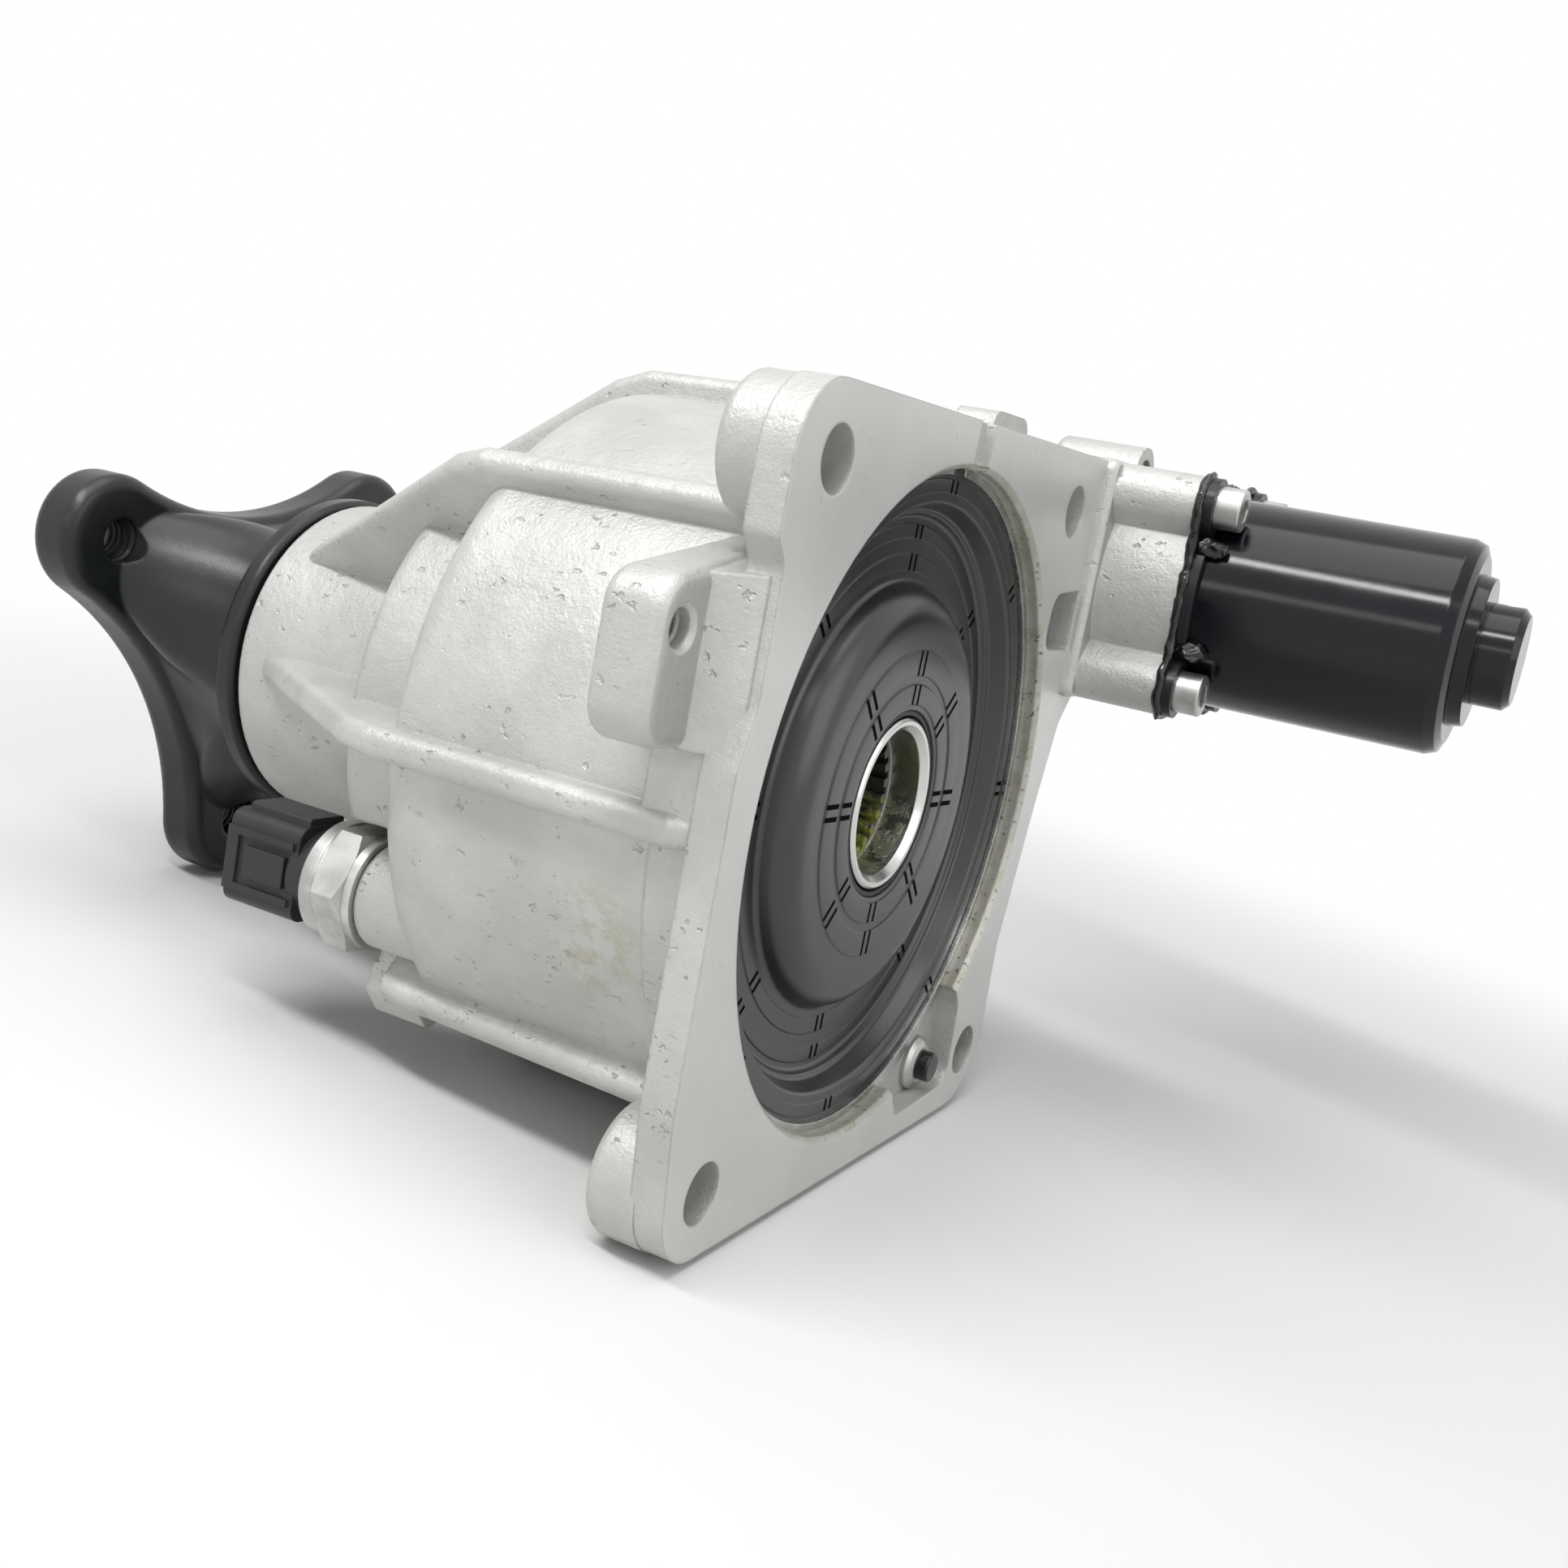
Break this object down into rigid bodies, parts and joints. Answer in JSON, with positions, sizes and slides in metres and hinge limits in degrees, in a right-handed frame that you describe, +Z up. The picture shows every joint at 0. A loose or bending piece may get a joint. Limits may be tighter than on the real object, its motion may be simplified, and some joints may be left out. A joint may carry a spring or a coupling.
{
  "type": "four-wheel-drive coupling",
  "caption": "Electro-hydraulic wet clutch in a ribbed cast housing: a flanged input shaft drives a splined output hub when a motor-driven pump presses the plate pack.",
  "frame": {"origin": "centre of the housing bore and of its four mounting holes, in the plane of the mounting face", "axes": "+X along the main axis from the mounting face to the companion flange, +Z up, +Y to the bracket lug side"},
  "size_m": [0.2907, 0.2315, 0.1632],
  "materials": {
    "cast_aluminium": "as cast, matte, machined on the mounting face",
    "coated_cover": "moulded over steel, satin",
    "bright_steel": "ground",
    "plated_steel": "zinc plated, matte",
    "black_rubber": "moulded",
    "black_coated_steel": "electrocoat, semi-gloss",
    "black_gloss_steel": "paint, high gloss",
    "black_plastic": "moulded, matte",
    "friction_paper": "wet paper lining",
    "ferrite": "sintered",
    "copper": "enamelled wire and bars",
    "sintered_bronze": "sintered",
    "carbon": "pressed",
    "tinned_terminal": "tinned"
  },
  "bodies": {
    "housing": {"main_housing": "cast_aluminium", "front_cover": "coated_cover", "cover_snap_ring": "bright_steel", "hub_lip_seal": "black_rubber", "bearing_outer_race": "bright_steel", "bearing_circlip": "bright_steel", "shaft_seal": "black_rubber", "spring_snap_ring": "bright_steel", "piston_return_spring": "bright_steel", "vent_ferrule": "plated_steel", "vent_pin": "black_plastic", "gallery_plug": "bright_steel", "pump_gasket": "black_rubber", "pump_port_plate": "cast_aluminium", "pump_shaft_seal": "black_rubber", "motor_flange": "black_coated_steel", "motor_can": "black_gloss_steel", "motor_magnets": "ferrite", "motor_bushing": "sintered_bronze", "motor_brush_holder": "black_plastic", "motor_brushes": "carbon", "motor_screws": "plated_steel", "sensor_washer": "plated_steel", "sensor_body": "plated_steel", "sensor_connector": "black_plastic", "sensor_terminals": "tinned_terminal"},
    "input_shaft": {"companion_flange": "black_coated_steel", "flange_nut": "plated_steel", "dust_shield": "black_coated_steel", "input_shaft": "bright_steel", "disc_carrier": "bright_steel", "friction_discs": "friction_paper", "bearing_inner_race": "bright_steel"},
    "output_drum": {"output_hub": "bright_steel", "hub_cup_plug": "bright_steel", "pilot_bushing": "sintered_bronze", "clutch_drum": "bright_steel", "backing_plate": "bright_steel", "steel_plates": "bright_steel", "drum_snap_ring": "bright_steel"},
    "pressure_plate": {"pressure_plate": "bright_steel", "thrust_race_front": "bright_steel"},
    "piston": {"piston": "cast_aluminium", "piston_seals": "black_rubber", "thrust_race_rear": "bright_steel"},
    "thrust_cage": {"thrust_cage": "black_plastic", "thrust_rollers": "bright_steel"},
    "ball_cage": {"ball_cage": "black_plastic", "bearing_balls": "bright_steel"},
    "motor_rotor": {"motor_shaft": "bright_steel", "motor_core": "bright_steel", "motor_windings": "copper", "motor_commutator": "copper", "gerotor_inner": "bright_steel"},
    "pump_ring": {"gerotor_outer": "bright_steel"}
  },
  "joints": [
    {"name": "input_spin", "type": "hinge", "parent": "housing", "child": "input_shaft", "pos_m": [0.112, 0, 0], "axis": [1, 0, 0], "continuous": true},
    {"name": "drum_spin", "type": "hinge", "parent": "housing", "child": "output_drum", "pos_m": [0.016, 0, 0], "axis": [1, 0, 0], "continuous": true},
    {"name": "piston_slide", "type": "slide", "parent": "housing", "child": "piston", "axis": [-1, 0, 0], "range_m": [0, 0.0016], "stiffness_N_per_m": 20000, "springref_m": -0.0005, "deforming": ["piston_return_spring"]},
    {"name": "pressure_slide", "type": "slide", "parent": "output_drum", "child": "pressure_plate", "axis": [-1, 0, 0], "range_m": [0, 0.0016]},
    {"name": "thrust_cage_spin", "type": "hinge", "parent": "piston", "child": "thrust_cage", "pos_m": [0.06025, 0, 0], "axis": [1, 0, 0], "continuous": true},
    {"name": "ball_cage_spin", "type": "hinge", "parent": "housing", "child": "ball_cage", "pos_m": [0.112, 0, 0], "axis": [1, 0, 0], "continuous": true},
    {"name": "motor_spin", "type": "hinge", "parent": "housing", "child": "motor_rotor", "pos_m": [-0.0265, -0.1088, 0.0505], "axis": [1, 0, 0], "continuous": true},
    {"name": "pump_ring_spin", "type": "hinge", "parent": "housing", "child": "pump_ring", "pos_m": [-0.011, -0.1104, 0.0505], "axis": [1, 0, 0], "continuous": true}
  ],
  "couplings": [
    {"joint": "pressure_slide", "follows": "piston_slide", "ratio": 1},
    {"joint": "thrust_cage_spin", "follows": "drum_spin", "ratio": 0.5},
    {"joint": "ball_cage_spin", "follows": "input_spin", "ratio": 0.3967},
    {"joint": "pump_ring_spin", "follows": "motor_spin", "ratio": 0.85714}
  ]
}
